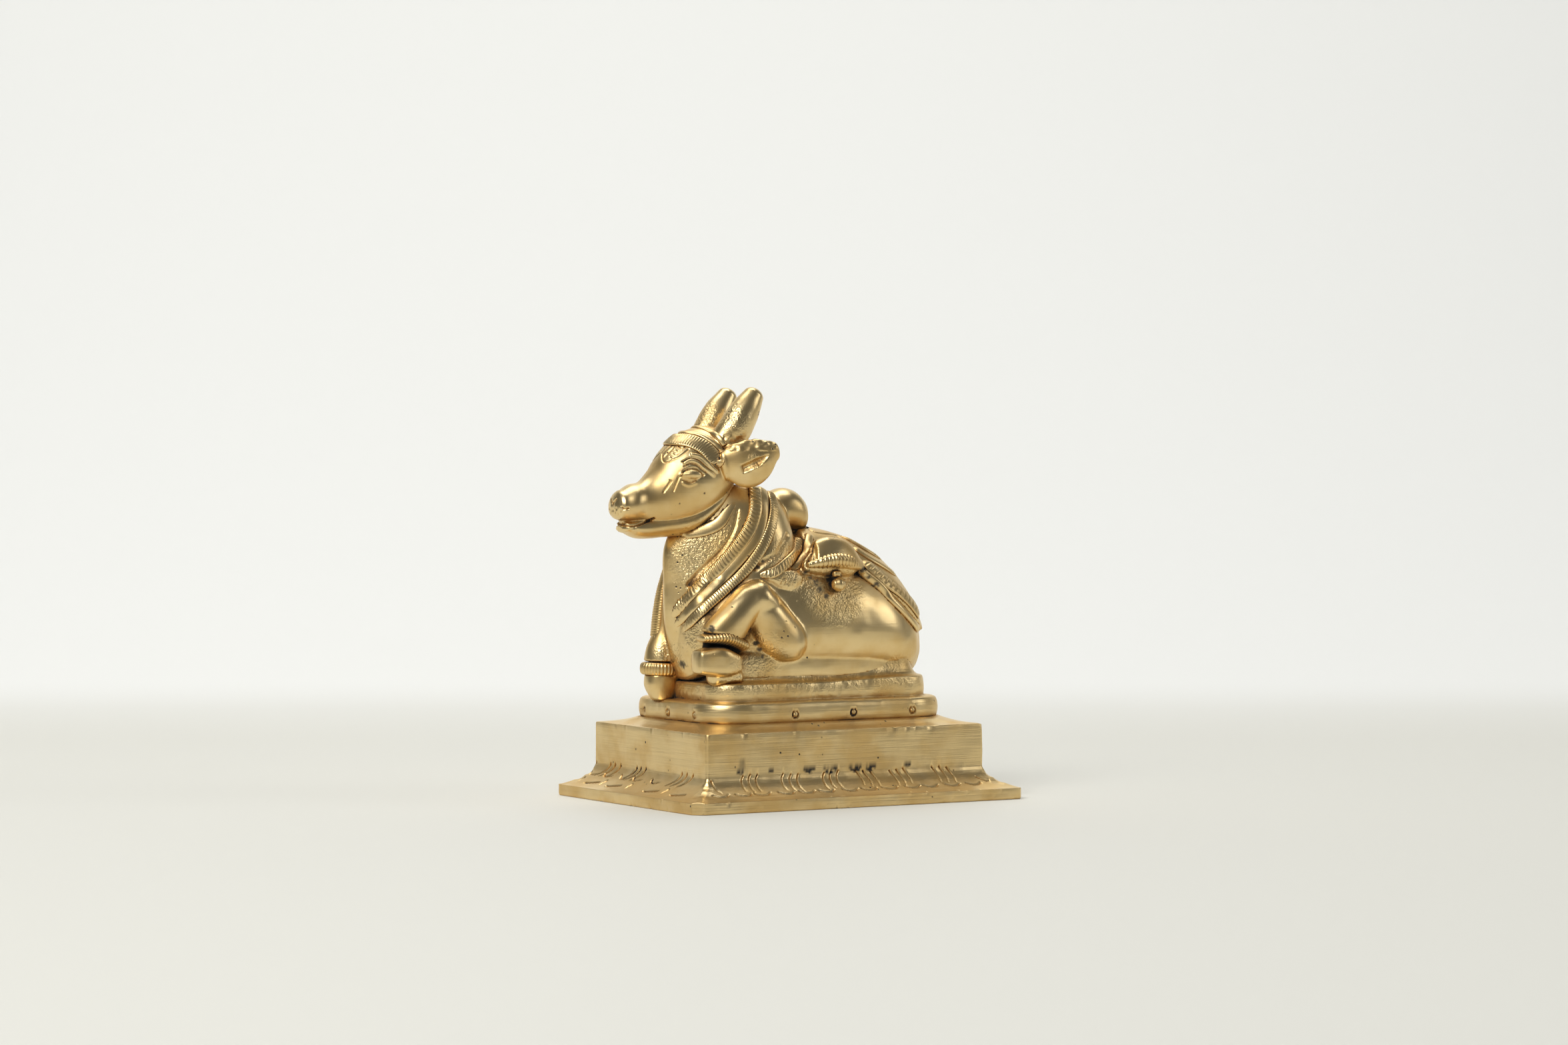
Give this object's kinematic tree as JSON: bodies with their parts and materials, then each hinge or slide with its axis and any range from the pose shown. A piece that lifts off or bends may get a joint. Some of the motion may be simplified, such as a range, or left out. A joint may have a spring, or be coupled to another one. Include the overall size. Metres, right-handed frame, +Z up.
{
  "type": "nandi bull figure",
  "caption": "Small cast brass Nandi bull lying with its head raised, collared and saddled, on a seat of rounded tiers over a block plinth with a flared, petal-engraved foot.",
  "frame": {"origin": "middle of the flat underside of the plinth", "axes": "+Z up; the bull faces -X, with its rump towards +X and its left side towards -Y"},
  "size_m": [0.0655, 0.0478, 0.069],
  "materials": {
    "brass": "hand-filed and worn bright, with tarnish and grime in the recesses"
  },
  "bodies": {
    "root": {"nandi_bull": "brass"}
  },
  "joints": []
}
